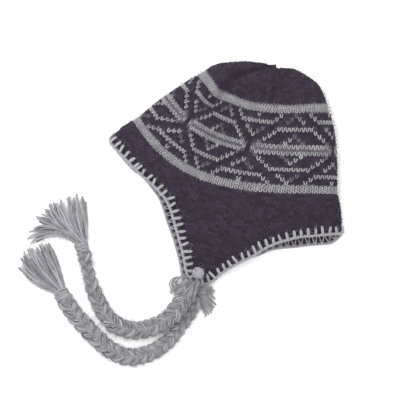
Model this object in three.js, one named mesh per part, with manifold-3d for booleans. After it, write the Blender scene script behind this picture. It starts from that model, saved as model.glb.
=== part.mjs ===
// A knitted wool cap with ear flaps and plaited ties, lying on its side on a table.
// Millimetres, +Z up. The cap's front edge is towards -X and its crown towards +Y.
// The layer of the cap that lies on the table is called the lower layer, the other the upper.
import * as THREE from "three";
import { mergeVertices } from "three/addons/utils/BufferGeometryUtils.js";
import Module from "manifold-3d";

const wasm = await Module();
wasm.setup();

// Driving dimensions of the cap
const CAP_WIDTH = 255; // across the lying cap, from its front edge to its back edge
const CAP_LENGTH = 246; // from the crown to the tips of the flaps
const CAP_HEIGHT = 52; // of the lying cap at its fullest
const WALL = 3.4; // the knitted fabric with its loose strands inside
const STITCHES = 100; // in each round of the band
const POLE_ROW = 30; // rounds from the middle of the band to the gathered crown
const INNER_POLE_ROW = 27; // where the inside of the gathered crown closes
const GAP = 0.3; // between pieces that touch

// Driving dimensions of the edging and the ties
const EDGING_WIDTH = 3.6; // beyond the edge of the fabric
const EDGING_HEIGHT = 4.6; // through the fabric
const KNOT_WIDTH = 12.5;
const KNOT_HEIGHT = 7;
const BRAID_WIDTH = 18.5;
const BRAID_HEIGHT = 12.6;
const BINDING_LENGTH = 11;
const BINDING_WIDTH = 16.5;
const BINDING_HEIGHT = 12.6;
const TASSEL_LENGTH = 57;
const LOCK_WIDTH = 11;
const LOCK_HEIGHT = 8;

// Rounds of the fabric, counted from the middle of the band, the crown's being positive.
// Front and back: where the round turns over at the cap's front and back edge, as shares of
// CAP_WIDTH in x and CAP_LENGTH in y. Sag: how far the round hangs towards the rim between them,
// a share of CAP_LENGTH, and skew: how much of that lies nearer the front. Top, side and base:
// heights of the upper layer, the turned edges and the lower layer, as shares of CAP_HEIGHT.
const ROUNDS = [
  {
    row: -50, frontX: -0.767, frontY: -0.087, backX: 0.523, backY: -0.637,
    sag: 0.192, skew: 0.1, top: 0.173, side: 0.077, base: 0,
  },
  {
    row: -44, frontX: -0.707, frontY: -0.028, backX: 0.519, backY: -0.529,
    sag: 0.192, skew: 0.12, top: 0.212, side: 0.096, base: 0,
  },
  {
    row: -36, frontX: -0.62, frontY: 0.048, backX: 0.51, backY: -0.386,
    sag: 0.188, skew: 0.15, top: 0.404, side: 0.115, base: 0,
  },
  {
    row: -24, frontX: -0.508, frontY: 0.15, backX: 0.501, backY: -0.234,
    sag: 0.174, skew: 0.25, top: 0.654, side: 0.192, base: 0,
  },
  {
    row: -18, frontX: -0.452, frontY: 0.215, backX: 0.497, backY: -0.149,
    sag: 0.159, skew: 0.35, top: 0.788, side: 0.231, base: 0,
  },
  {
    row: -12, frontX: -0.387, frontY: 0.26, backX: 0.485, backY: -0.064,
    sag: 0.139, skew: 0.45, top: 0.885, side: 0.25, base: 0,
  },
  {
    row: 0, frontX: -0.262, frontY: 0.361, backX: 0.482, backY: 0.11,
    sag: 0.107, skew: 0.45, top: 1, side: 0.288, base: 0,
  },
  {
    row: 12, frontX: -0.107, frontY: 0.463, backX: 0.445, backY: 0.303,
    sag: 0.085, skew: 0.45, top: 1, side: 0.327, base: 0,
  },
  {
    row: 18, frontX: -0.016, frontY: 0.506, backX: 0.411, backY: 0.392,
    sag: 0.072, skew: 0.2, top: 0.885, side: 0.346, base: 0.038,
  },
  {
    row: 23, frontX: 0.087, frontY: 0.513, backX: 0.342, backY: 0.455,
    sag: 0.045, skew: 0, top: 0.731, side: 0.365, base: 0.154,
  },
  {
    row: 27, frontX: 0.16, frontY: 0.506, backX: 0.281, backY: 0.481,
    sag: 0.022, skew: 0, top: 0.558, side: 0.385, base: 0.269,
  },
  {
    row: 30, frontX: 0.212, frontY: 0.49, backX: 0.225, backY: 0.485,
    sag: 0.003, skew: 0, top: 0.433, side: 0.394, base: 0.356,
  },
];
const ROUND_NUMBERS = Object.keys(ROUNDS[0]).filter((name) => name !== "row");

// How full the turned edges are: higher is squarer.
const UPPER_FULLNESS = 3.4;
const LOWER_FULLNESS = 5;
const LYING_SHARE = 1.03; // over 1, so that the lower layer lies flat between its edges

// Stitches of a round that lie in the upper layer, from the front edge to the back edge.
const UPPER_STITCHES = [
  { row: -50, from: -9.5, to: 44 },
  { row: -24, from: -9.5, to: 44 },
  { row: -12, from: -12.2, to: 44.3 },
  { row: 12, from: -12.5, to: 44.5 },
  { row: 20, from: -11.5, to: 41 },
];

// Creases of the upper layer, which run to the gathered crown. Share: where they cross a round,
// from the front edge. Deep is a share of CAP_HEIGHT, and push, towards the rim, of CAP_LENGTH.
// Hidden: how much more fabric they take in than shows. The last is no crease, only a place where
// the fabric is gathered a little.
const CREASES = [
  {
    path: [
      { row: -12, share: 0.1 },
      { row: 0, share: 0.135 },
      { row: 12, share: 0.19 },
      { row: 18, share: 0.17 },
      { row: 24, share: 0.2 },
    ],
    half: 0.045, deep: 0.21, push: 0.0155, hidden: 0.9, row: 14, span: 11,
  },
  {
    path: [{ row: 8, share: 0.62 }, { row: 24, share: 0.55 }],
    half: 0.05, deep: 0.1, push: -0.0065, hidden: 0.2, row: 17, span: 6,
  },
  {
    path: [{ row: 8, share: 0.86 }, { row: 24, share: 0.8 }],
    half: 0.06, deep: 0.06, push: -0.0045, hidden: 0, row: 17, span: 5,
  },
  {
    path: [{ row: -12, share: 0.32 }, { row: 12, share: 0.33 }],
    half: 0.12, deep: 0, push: 0, hidden: 0.6, row: 0, span: 16,
  },
];

// Rounds by which the lower layer lies further out than the upper one at the rim, at each share of
// a round from the front edge.
const SLIP = [
  { share: 0, rows: 0 },
  { share: 0.06, rows: 0.5 },
  { share: 0.12, rows: 0.5 },
  { share: 0.18, rows: -0.1 },
  { share: 0.26, rows: 0.4 },
  { share: 0.34, rows: 1.5 },
  { share: 0.42, rows: 1.3 },
  { share: 0.5, rows: 2.7 },
  { share: 0.58, rows: -1.2 },
  { share: 0.66, rows: -1.4 },
  { share: 0.74, rows: 0.1 },
  { share: 0.84, rows: 2.5 },
  { share: 0.95, rows: 3.0 },
  { share: 1, rows: 0 },
];
const SLIP_FROM_ROW = 14;
const SLIP_TO_ROW = -22;

// The rim of one half of the cap, in stitches from the middle of its flap, front side negative.
const RIM = [
  { stitch: -25, row: -23 },
  { stitch: -20, row: -22 },
  { stitch: -14, row: -21.6 },
  { stitch: -10, row: -22.6 },
  { stitch: -8, row: -24.6 },
  { stitch: -6, row: -28.6 },
  { stitch: -4, row: -33.4 },
  { stitch: -2, row: -38.4 },
  { stitch: 0, row: -43.2 },
  { stitch: 1.5, row: -44.4 },
  { stitch: 3, row: -43.4 },
  { stitch: 5, row: -39.2 },
  { stitch: 7, row: -35.8 },
  { stitch: 9, row: -33 },
  { stitch: 11, row: -29.6 },
  { stitch: 14, row: -26.8 },
  { stitch: 18, row: -25.4 },
  { stitch: 25, row: -25.2 },
];
const FLAP_MIDDLE = 17.5; // the stitch at the middle of the upper flap
const HALF = STITCHES / 2;
const LOWER_FLAP_MIDDLE = FLAP_MIDDLE + HALF;

// How finely the fabric is divided
const COLUMNS = 88;
const LEVELS = 18;
const FLAP_CROWDING = 0.4; // share by which columns crowd together at the flaps
const ROUND_POINTS = 96;
const EDGING_SIDES = 8;
const NORMAL_SPAN = 0.4; // stitches and rounds to each side that a direction is taken over
const ROUND_SIDES = 12; // of the knot, the bindings and the tassels' bundles
const ROUND_RINGS = 8;
const BRAID_SIDES = 10;
const BRAID_STEPS = 44;
const LOCK_SIDES = 6;

// Where the knot lies on the upper flap, and how far it stands off the fabric under its middle
const KNOT_STITCH = 18.6;
const KNOT_ROW = -41.3;
const KNOT_LIFT = 0.45;

// The bundle that the locks of a tassel spring from
const ROOT_WIDTH = 13;
const ROOT_HEIGHT = 12;

// Half profile of a binding, as shares of BINDING_LENGTH and of half of BINDING_WIDTH
const BINDING_PROFILE = [
  { along: 0, radius: 0 },
  { along: 0, radius: 0.8 },
  { along: 0.2, radius: 0.97 },
  { along: 0.5, radius: 1 },
  { along: 0.8, radius: 0.95 },
  { along: 1, radius: 0.78 },
  { along: 1, radius: 0 },
];

// A lock along its length, as shares of LOCK_WIDTH, and of the drop from the tie to the table
const LOCK_PROFILE = [
  { along: 0, width: 0.7, rise: 0 },
  { along: 0.25, width: 0.95, rise: 0.6 },
  { along: 0.55, width: 1, rise: 1 },
  { along: 0.85, width: 0.85, rise: 1 },
  { along: 1, width: 0.4, rise: 1 },
];

// Routes of the ties on the table, from the flap tips, chosen by hand
const NEAR_ROUTE = [
  [-37.5, -118.6, 11.6], [-42, -130, 14], [-47.5, -142, 15.8], [-56, -153, 15.6],
  [-63, -158.7, 12.7], [-71, -163.5, 9.4], [-89, -169, 6.5], [-97.6, -169.5, 6.4],
  [-106, -168.5, 6.5], [-122, -161.5, 6.5], [-129, -155.1, 6.5], [-135, -147.5, 6.5],
  [-143, -131.5, 6.5], [-149, -114.5, 6.5], [-153, -98.5, 6.5], [-156, -83.5, 6.5],
].map((p) => new THREE.Vector3(...p));
const FAR_ROUTE = [
  [-22.8, -127.6, 6.5], [-25.5, -136.5, 6.5], [-31.5, -148.5, 6.5], [-36.2, -155, 6.5],
  [-41.5, -161.5, 6.5], [-53, -174.5, 6.5], [-67, -186.5, 6.5], [-75.2, -191.7, 6.5],
  [-84, -195.8, 6.5], [-103, -199.8, 6.5], [-122, -194.2, 6.5], [-139, -181.7, 6.5],
  [-146.8, -174, 6.5], [-154, -165.7, 6.5], [-167, -148.7, 6.5], [-176, -134.7, 6.5],
].map((p) => new THREE.Vector3(...p));

// Locks of each tassel: their turn from the tie's own direction in degrees, and their length as a
// share of TASSEL_LENGTH
const NEAR_LOCKS = [
  { turn: 67, length: 0.86 },
  { turn: 49, length: 0.87 },
  { turn: 33, length: 0.82 },
  { turn: 19, length: 0.83 },
  { turn: 6, length: 0.78 },
  { turn: -8, length: 0.75 },
  { turn: -21, length: 0.69 },
];
const FAR_LOCKS = [
  { turn: 23, length: 0.78 },
  { turn: 13, length: 0.9 },
  { turn: 3, length: 0.97 },
  { turn: -7, length: 1 },
  { turn: -17, length: 1 },
  { turn: -27, length: 0.9 },
];

// A smooth curve through the values of a table, which never overshoots them
function slopeAt(table, key, name, i) {
  const rise = (k) => (table[k + 1][name] - table[k][name]) / (table[k + 1][key] - table[k][key]);
  if (i === 0) return rise(0);
  if (i === table.length - 1) return rise(i - 1);
  const before = rise(i - 1);
  const after = rise(i);
  return before * after > 0 ? (2 * before * after) / (before + after) : 0;
}

function lookUp(table, key, name, at) {
  const last = table.length - 1;
  const x = Math.min(Math.max(at, table[0][key]), table[last][key]);
  let i = 0;
  while (i < last - 1 && x > table[i + 1][key]) i += 1;
  const step = table[i + 1][key] - table[i][key];
  const t = (x - table[i][key]) / step;
  const [t2, t3] = [t * t, t * t * t];
  return (2 * t3 - 3 * t2 + 1) * table[i][name]
    + (t3 - 2 * t2 + t) * step * slopeAt(table, key, name, i)
    + (3 * t2 - 2 * t3) * table[i + 1][name]
    + (t3 - t2) * step * slopeAt(table, key, name, i + 1);
}

// One round of the fabric in millimetres
function roundAt(row) {
  const found = {};
  for (const name of ROUND_NUMBERS) found[name] = lookUp(ROUNDS, "row", name, row);
  return {
    front: new THREE.Vector2(found.frontX * CAP_WIDTH, found.frontY * CAP_LENGTH),
    back: new THREE.Vector2(found.backX * CAP_WIDTH, found.backY * CAP_LENGTH),
    sag: found.sag * CAP_LENGTH,
    skew: found.skew,
    top: found.top * CAP_HEIGHT,
    side: found.side * CAP_HEIGHT,
    base: found.base * CAP_HEIGHT,
  };
}

// Where a share of a round lies, seen from above, and which way the rim is from there
function planAt(round, share) {
  const along = round.back.clone().sub(round.front);
  const down = new THREE.Vector2(along.y, -along.x).normalize();
  const hang = 4 * share * (1 - share) * (1 + round.skew * (1 - 2 * share));
  const place = round.front.clone().addScaledVector(along, share).addScaledVector(down, round.sag * hang);
  return { place, down };
}

function creaseAt(crease, row, share) {
  const middle = lookUp(crease.path, "row", "share", row);
  const fade = Math.exp(-(((row - crease.row) / crease.span) ** 2));
  const across = (share - middle) / crease.half;
  const beside = (share - middle + crease.half / 2) / (1.3 * crease.half);
  return { dip: fade * Math.exp(-across * across), shift: fade * Math.exp(-beside * beside) };
}

// The upper layer: the angle runs from 0 at the front edge to pi at the back edge.
function upperPoint(row, angle) {
  const round = roundAt(row);
  const c = Math.cos(angle);
  const share = (1 - Math.sign(c) * Math.abs(c) ** (2 / UPPER_FULLNESS)) / 2;
  const rise = Math.abs(Math.sin(angle)) ** (2 / UPPER_FULLNESS);
  const { place, down } = planAt(round, share);
  let z = round.side + (round.top - round.side) * rise;
  let hidden = 0;
  for (const crease of CREASES) {
    const { dip, shift } = creaseAt(crease, row, share);
    z -= crease.deep * CAP_HEIGHT * dip;
    place.addScaledVector(down, crease.push * CAP_LENGTH * shift);
    hidden += crease.hidden * dip;
  }
  return { point: new THREE.Vector3(place.x, place.y, z), hidden };
}

// The lower layer: the angle runs from 0 at the back edge to pi at the front edge.
function lowerPoint(row, angle) {
  const c = Math.cos(angle);
  const share = (1 + Math.sign(c) * Math.abs(c) ** (2 / LOWER_FULLNESS)) / 2;
  const spread = THREE.MathUtils.smoothstep(SLIP_FROM_ROW - row, 0, SLIP_FROM_ROW - SLIP_TO_ROW);
  const slip = lookUp(SLIP, "share", "rows", share) * spread;
  const { place } = planAt(roundAt(row - slip), share);
  const round = roundAt(row);
  const drop = LYING_SHARE * Math.abs(Math.sin(angle)) ** (2 / LOWER_FULLNESS);
  const z = round.base + (round.side - round.base) * Math.max(0, 1 - drop);
  return { point: new THREE.Vector3(place.x, place.y, z), hidden: 0 };
}

// The points of one layer of a round with the length of fabric up to each
function traceLayer(layerPoint, row) {
  const points = [];
  const fabric = [0];
  let before = null;
  for (let i = 0; i <= ROUND_POINTS; i += 1) {
    const now = layerPoint(row, (Math.PI * i) / ROUND_POINTS);
    if (before) {
      const taken = 1 + (now.hidden + before.hidden) / 2;
      fabric.push(fabric[i - 1] + now.point.distanceTo(before.point) * taken);
    }
    points.push(now.point);
    before = now;
  }
  return { points, fabric };
}

const tracedRounds = new Map();
function traceRound(row) {
  const key = row.toFixed(4);
  if (!tracedRounds.has(key)) {
    tracedRounds.set(key, { upper: traceLayer(upperPoint, row), lower: traceLayer(lowerPoint, row) });
  }
  return tracedRounds.get(key);
}

function alongLayer({ points, fabric }, share) {
  const wanted = share * fabric[ROUND_POINTS];
  let i = 0;
  while (i < ROUND_POINTS - 1 && fabric[i + 1] < wanted) i += 1;
  const t = (wanted - fabric[i]) / (fabric[i + 1] - fabric[i]);
  return points[i].clone().lerp(points[i + 1], t);
}

// A point of the fabric's outside, given its stitch and its round
function fabricPoint(stitch, row) {
  const from = lookUp(UPPER_STITCHES, "row", "from", row);
  const to = lookUp(UPPER_STITCHES, "row", "to", row);
  const turns = (stitch - from) / STITCHES;
  const counted = (turns - Math.floor(turns)) * STITCHES;
  const round = traceRound(row);
  if (counted <= to - from) return alongLayer(round.upper, counted / (to - from));
  return alongLayer(round.lower, (counted - (to - from)) / (STITCHES - (to - from)));
}

function fabricNormal(stitch, row) {
  const along = fabricPoint(stitch + NORMAL_SPAN, row).sub(fabricPoint(stitch - NORMAL_SPAN, row));
  const rowUp = Math.min(row + NORMAL_SPAN, POLE_ROW);
  const towardsCrown = fabricPoint(stitch, rowUp).sub(fabricPoint(stitch, row - NORMAL_SPAN));
  return along.cross(towardsCrown).normalize();
}

// The round at which the fabric ends, the same on both flaps
function rimRow(stitch) {
  const turns = (stitch - FLAP_MIDDLE + HALF / 2) / STITCHES;
  const counted = (turns - Math.floor(turns)) * STITCHES - HALF / 2;
  const fromFlap = counted <= HALF / 2 ? counted : HALF - counted;
  return lookUp(RIM, "stitch", "row", fromFlap);
}

// The stitch of each column, closer together at the flaps
function columnStitch(column) {
  const half = COLUMNS / 2;
  const [start, place] = column < half ? [FLAP_MIDDLE, column] : [LOWER_FLAP_MIDDLE, column - half];
  const t = (2 * place) / half - 1;
  return start + (HALF / 2) * (t - (FLAP_CROWDING / Math.PI) * Math.sin(Math.PI * t));
}

function solidMesh(name, positions, triangles, material) {
  const geometry = new THREE.BufferGeometry();
  geometry.setAttribute("position", new THREE.Float32BufferAttribute(positions, 3));
  geometry.setIndex(triangles);
  geometry.computeVertexNormals();
  const mesh = new THREE.Mesh(geometry, material);
  mesh.name = name;
  return mesh;
}

// The knitted body: an outer and an inner surface, joined round the rim
function makeCap(material) {
  const positions = [];
  const triangles = [];
  const add = (p) => positions.push(p.x, p.y, p.z) / 3 - 1;
  const layers = [{ depth: 0, poleRow: POLE_ROW }, { depth: WALL, poleRow: INNER_POLE_ROW }];
  const rings = layers.map(({ depth, poleRow }) => {
    const levels = [];
    for (let level = 0; level <= LEVELS; level += 1) {
      const ring = [];
      for (let column = 0; column < COLUMNS; column += 1) {
        const stitch = columnStitch(column);
        const rim = rimRow(stitch);
        const row = rim + ((poleRow - rim) * level) / LEVELS;
        ring.push(fabricPoint(stitch, row).addScaledVector(fabricNormal(stitch, row), -depth));
      }
      levels.push(ring);
    }
    return levels;
  });
  const indexed = rings.map((levels) => levels.map((ring) => ring.map(add)));
  const quad = (a, b, c, d) => triangles.push(a, b, c, a, c, d);
  indexed.forEach((levels, side) => {
    const top = rings[side][LEVELS];
    const pole = add(top.reduce((sum, p) => sum.add(p), new THREE.Vector3()).divideScalar(COLUMNS));
    for (let column = 0; column < COLUMNS; column += 1) {
      const next = (column + 1) % COLUMNS;
      for (let level = 0; level < LEVELS; level += 1) {
        const [a, b] = [levels[level][column], levels[level][next]];
        const [c, d] = [levels[level + 1][next], levels[level + 1][column]];
        if (side === 0) quad(a, b, c, d);
        else quad(b, a, d, c);
      }
      const [first, second] = [levels[LEVELS][column], levels[LEVELS][next]];
      if (side === 0) triangles.push(first, second, pole);
      else triangles.push(second, first, pole);
    }
  });
  for (let column = 0; column < COLUMNS; column += 1) {
    const next = (column + 1) % COLUMNS;
    quad(indexed[0][0][next], indexed[0][0][column], indexed[1][0][column], indexed[1][0][next]);
  }
  return solidMesh("knitted_cap", positions, triangles, material);
}

// Where the rim is, and the directions along it, out of the fabric and through it
function rimFrame(column) {
  const at = (k) => {
    const stitch = columnStitch((k + COLUMNS) % COLUMNS);
    return { stitch, row: rimRow(stitch) };
  };
  const middle = ({ stitch, row }) => fabricPoint(stitch, row).addScaledVector(fabricNormal(stitch, row), -WALL / 2);
  const here = at(column);
  const along = middle(at(column + 1)).sub(middle(at(column - 1))).normalize();
  const through = fabricNormal(here.stitch, here.row);
  const out = through.clone().cross(along).negate().normalize();
  return { middle: middle(here), along, through, out };
}

// The edging: one cord of yarn round the whole rim
function makeEdging(material) {
  const positions = [];
  const triangles = [];
  for (let column = 0; column < COLUMNS; column += 1) {
    const { middle, through, out } = rimFrame(column);
    const centre = middle.clone().addScaledVector(out, EDGING_WIDTH / 2 + GAP);
    for (let side = 0; side < EDGING_SIDES; side += 1) {
      const angle = (2 * Math.PI * (side + 0.5)) / EDGING_SIDES;
      const p = centre.clone()
        .addScaledVector(out, (EDGING_WIDTH / 2) * Math.cos(angle))
        .addScaledVector(through, (EDGING_HEIGHT / 2) * Math.sin(angle));
      positions.push(p.x, p.y, Math.max(p.z, 0));
    }
  }
  for (let column = 0; column < COLUMNS; column += 1) {
    const next = (column + 1) % COLUMNS;
    for (let side = 0; side < EDGING_SIDES; side += 1) {
      const other = (side + 1) % EDGING_SIDES;
      const [a, b] = [column * EDGING_SIDES + side, column * EDGING_SIDES + other];
      const [c, d] = [next * EDGING_SIDES + other, next * EDGING_SIDES + side];
      triangles.push(a, c, b, a, d, c);
    }
  }
  return solidMesh("rim_edging", positions, triangles, material);
}

// A tie: a tube with an oval section that lies level along its route
function makeBraid(name, route, material) {
  const section = new THREE.Shape();
  section.absellipse(0, 0, BRAID_HEIGHT / 2, BRAID_WIDTH / 2, 0, 2 * Math.PI, false);
  const points = section.getSpacedPoints(BRAID_SIDES).slice(0, BRAID_SIDES);
  const path = new THREE.CatmullRomCurve3(route, false, "centripetal");
  const options = { steps: BRAID_STEPS, extrudePath: path };
  const mesh = new THREE.Mesh(new THREE.ExtrudeGeometry(new THREE.Shape(points), options), material);
  mesh.name = name;
  return mesh;
}

// The knot of the tie's yarn, which lies on the outside of the upper flap near its tip
function makeKnot(material) {
  const lying = fabricNormal(KNOT_STITCH, KNOT_ROW);
  const geometry = new THREE.SphereGeometry(KNOT_WIDTH / 2, ROUND_SIDES, ROUND_RINGS);
  geometry.scale(1, 1, KNOT_HEIGHT / KNOT_WIDTH);
  const mesh = new THREE.Mesh(geometry, material);
  mesh.name = "flap_knot";
  mesh.quaternion.setFromUnitVectors(new THREE.Vector3(0, 0, 1), lying);
  mesh.position.copy(fabricPoint(KNOT_STITCH, KNOT_ROW)).addScaledVector(lying, KNOT_HEIGHT / 2 + KNOT_LIFT);
  return mesh;
}

// Where a tie ends, and the level direction in which it ends
function tieEnd(route) {
  const path = new THREE.CatmullRomCurve3(route, false, "centripetal");
  return { end: path.getPoint(1), direction: path.getTangent(1).setZ(0).normalize() };
}

// Turns a shape that lies along +X about the origin to the end of a tie
function placeAtTie(object, route, distance) {
  const { end, direction } = tieEnd(route);
  object.position.copy(end).addScaledVector(direction, distance);
  object.rotation.z = Math.atan2(direction.y, direction.x);
}

// The yarn wound round the end of a tie: a short barrel, fuller in its middle
function makeBinding(name, route, material) {
  const profile = BINDING_PROFILE.map(({ along, radius }) => (
    new THREE.Vector2((radius * BINDING_WIDTH) / 2, along * BINDING_LENGTH)
  ));
  const geometry = new THREE.LatheGeometry(profile, ROUND_SIDES);
  geometry.rotateZ(-Math.PI / 2);
  geometry.scale(1, 1, BINDING_HEIGHT / BINDING_WIDTH);
  const mesh = new THREE.Mesh(geometry, material);
  mesh.name = name;
  placeAtTie(mesh, route, GAP);
  return mesh;
}

function toManifold(geometry) {
  const bare = geometry.clone();
  bare.deleteAttribute("normal");
  bare.deleteAttribute("uv");
  const merged = mergeVertices(bare, 1e-4);
  return new wasm.Manifold(new wasm.Mesh({
    numProp: 3,
    vertProperties: merged.attributes.position.array,
    triVerts: new Uint32Array(merged.index.array),
  }));
}

// One lock of a tassel, along +X from the origin and lying on the table below it
function makeLock({ turn, length }) {
  const sections = LOCK_PROFILE.map(({ along, width, rise }) => ({
    x: along * length * TASSEL_LENGTH,
    width: width * LOCK_WIDTH,
    height: Math.min(width, 1) * LOCK_HEIGHT,
    z: rise * (LOCK_HEIGHT / 2 - BINDING_HEIGHT / 2),
  }));
  const positions = [];
  const triangles = [];
  sections.forEach(({ x, width, height, z }) => {
    for (let side = 0; side < LOCK_SIDES; side += 1) {
      const angle = (2 * Math.PI * (side + 0.5)) / LOCK_SIDES;
      positions.push(x, (width / 2) * Math.cos(angle), z + (height / 2) * Math.sin(angle));
    }
  });
  const [first, last] = [sections[0], sections[sections.length - 1]];
  positions.push(first.x, 0, first.z, last.x, 0, last.z);
  const [startPole, endPole] = [positions.length / 3 - 2, positions.length / 3 - 1];
  const lastRing = (sections.length - 1) * LOCK_SIDES;
  for (let side = 0; side < LOCK_SIDES; side += 1) {
    const other = (side + 1) % LOCK_SIDES;
    for (let ring = 0; ring < lastRing; ring += LOCK_SIDES) {
      const [a, b] = [ring + side, ring + other];
      const [c, d] = [b + LOCK_SIDES, a + LOCK_SIDES];
      triangles.push(a, b, c, a, c, d);
    }
    triangles.push(startPole, other, side);
    triangles.push(endPole, lastRing + side, lastRing + other);
  }
  const geometry = new THREE.BufferGeometry();
  geometry.setAttribute("position", new THREE.Float32BufferAttribute(positions, 3));
  geometry.setIndex(triangles);
  geometry.rotateZ(THREE.MathUtils.degToRad(turn));
  return geometry;
}

// A tassel: its locks fused to the bound bundle that they spring from
function makeTassel(name, route, locks, material) {
  const root = new THREE.SphereGeometry(ROOT_WIDTH / 2, ROUND_SIDES, ROUND_RINGS);
  root.scale(1, 1, ROOT_HEIGHT / ROOT_WIDTH);
  root.translate(ROOT_WIDTH / 2, 0, 0);
  const fused = locks.reduce((sum, lock) => {
    const geometry = makeLock(lock);
    geometry.translate(ROOT_WIDTH / 2, 0, 0);
    return sum.add(toManifold(geometry));
  }, toManifold(root));
  const { vertProperties, triVerts } = fused.getMesh();
  const mesh = solidMesh(name, Array.from(vertProperties), Array.from(triVerts), material);
  placeAtTie(mesh, route, BINDING_LENGTH + 2 * GAP);
  return mesh;
}

const dark = () => new THREE.MeshStandardMaterial({ color: 0x453c49, roughness: 0.95, metalness: 0 });
const light = () => new THREE.MeshStandardMaterial({ color: 0xa4a6aa, roughness: 0.92, metalness: 0 });

const cap = new THREE.Group();
cap.add(makeCap(dark()));
cap.add(makeEdging(light()));
cap.add(makeKnot(light()));
const ties = [
  { side: "near", route: NEAR_ROUTE, locks: NEAR_LOCKS },
  { side: "far", route: FAR_ROUTE, locks: FAR_LOCKS },
];
for (const { side, route, locks } of ties) {
  cap.add(makeBraid(`braid_${side}`, route, light()));
  cap.add(makeBinding(`binding_${side}`, route, light()));
  cap.add(makeTassel(`tassel_${side}`, route, locks, light()));
}

export default cap;
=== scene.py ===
# %% [markdown]
# # A knitted earflap cap, lying on its side
#
# The real cap is knitted in the round from thick wool: about a hundred stitches in each round, a
# patterned band in a light and a grey yarn, and two ear flaps. Its rim is worked over with light
# yarn, and a plaited tie with a tassel hangs from each flap. Here it lies on a pale table.
#
# The solid model gives the cap's size and place. This lesson dresses it with real stitches,
# strands and fibres, each of them a mesh, because wool is recognised by its yarn.

# %% Load the solid model
import math

import bpy
import numpy as np
from mathutils import Matrix, Vector


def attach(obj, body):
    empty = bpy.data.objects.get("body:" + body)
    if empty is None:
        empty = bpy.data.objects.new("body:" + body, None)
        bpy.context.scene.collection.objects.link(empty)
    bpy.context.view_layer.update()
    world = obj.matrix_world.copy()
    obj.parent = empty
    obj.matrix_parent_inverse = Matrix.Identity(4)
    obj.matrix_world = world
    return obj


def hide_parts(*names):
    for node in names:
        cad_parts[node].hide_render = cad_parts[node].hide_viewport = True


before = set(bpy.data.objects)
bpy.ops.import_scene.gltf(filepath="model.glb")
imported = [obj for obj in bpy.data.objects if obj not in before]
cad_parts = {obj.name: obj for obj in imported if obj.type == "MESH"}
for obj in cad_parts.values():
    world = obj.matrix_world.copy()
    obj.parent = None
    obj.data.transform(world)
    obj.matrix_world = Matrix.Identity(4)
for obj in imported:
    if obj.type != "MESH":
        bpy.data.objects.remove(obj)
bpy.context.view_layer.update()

MM = 0.001
rng = np.random.default_rng(11)

# %% [markdown]
# ## Camera
#
# The cap is seen from straight above, so the camera looks down, far away and with a long lens: the
# view is then almost parallel, and the crown isn't drawn larger than the rim. Blender's camera
# looks along its own -Z, so it needs no turn to look down.

# %% Camera
VIEW_WIDTH = 457.6 * MM  # of the picture, at the table
VIEW_CENTRE = (-19.6 * MM, -35.6 * MM)
CAMERA_HEIGHT = 4.0
SENSOR_MM = 36

camera_data = bpy.data.cameras.new("camera")
camera_data.sensor_width = SENSOR_MM
camera_data.lens = SENSOR_MM * CAMERA_HEIGHT / VIEW_WIDTH
camera_data.clip_end = 3 * CAMERA_HEIGHT
camera = bpy.data.objects.new("camera", camera_data)
camera.location = (*VIEW_CENTRE, CAMERA_HEIGHT)
bpy.context.scene.collection.objects.link(camera)
bpy.context.scene.camera = camera
bpy.context.scene.view_settings.view_transform = "Standard"
print("lens, mm:", round(camera_data.lens, 1))

# %% [markdown]
# ## Arithmetic on node sockets
#
# Both material and geometry node trees are mostly arithmetic. A small class wraps a socket, and its
# operators add Math nodes, so that a formula reads as a formula. One method makes any other node.

# %% Sockets and nodes
class Value:
    """A number's socket: arithmetic on it adds Math nodes."""

    def __init__(self, net, socket):
        self.net, self.socket = net, socket

    def math(self, operation, *others):
        return self.net.node("ShaderNodeMath", {"operation": operation}, [self, *others])

    def __add__(self, other):
        return self.math("ADD", other)

    __radd__ = __add__

    def __sub__(self, other):
        return self.math("SUBTRACT", other)

    def __mul__(self, other):
        return self.math("MULTIPLY", other)

    __rmul__ = __mul__


class Net:
    """A node tree, with one method that adds any node."""

    def __init__(self, tree):
        self.tree = tree

    def node(self, kind, settings=None, inputs=(), out=0):
        """Adds a node. Settings come first, then values or links, by position or by name."""
        made = self.tree.nodes.new(kind)
        for name, value in (settings or {}).items():
            setattr(made, name, value)
        pairs = inputs.items() if isinstance(inputs, dict) else enumerate(inputs)
        for key, value in pairs:
            if isinstance(value, Value):
                self.link(value, made.inputs[key])
            else:
                made.inputs[key].default_value = value
        return Value(self, made.outputs[out])

    def link(self, value, socket):
        self.tree.links.new(value.socket, socket)

    def attribute(self, name, kind="FLOAT"):
        return self.node("GeometryNodeInputNamedAttribute", {"data_type": kind}, {"Name": name})


def start_tree(name, sizes):
    """A geometry tree with a mesh in, a mesh out, and a named input for each size."""
    tree = bpy.data.node_groups.new(name, "GeometryNodeTree")
    add = tree.interface.new_socket
    add("Geometry", in_out="INPUT", socket_type="NodeSocketGeometry")
    for size in sizes:
        add(size, in_out="INPUT", socket_type="NodeSocketFloat")
    add("Material", in_out="INPUT", socket_type="NodeSocketMaterial")
    add("Geometry", in_out="OUTPUT", socket_type="NodeSocketGeometry")
    net = Net(tree)
    given = tree.nodes.new("NodeGroupInput")
    return net, {socket.name: Value(net, socket) for socket in given.outputs if socket.name}


def end_tree(net, geometry, material):
    """Every tree ends as a plain mesh with its material on it."""
    real = net.node("GeometryNodeRealizeInstances", inputs={"Geometry": geometry})
    smooth = net.node("GeometryNodeSetShadeSmooth", inputs={"Geometry": real})
    dressed = net.node("GeometryNodeSetMaterial", inputs={"Geometry": smooth, "Material": material})
    net.link(dressed, net.tree.nodes.new("NodeGroupOutput").inputs[0])


def sweep(net, lines, ring, scale):
    inputs = {"Curve": lines, "Profile Curve": ring, "Scale": scale, "Fill Caps": True}
    return net.node("GeometryNodeCurveToMesh", inputs=inputs)


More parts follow.
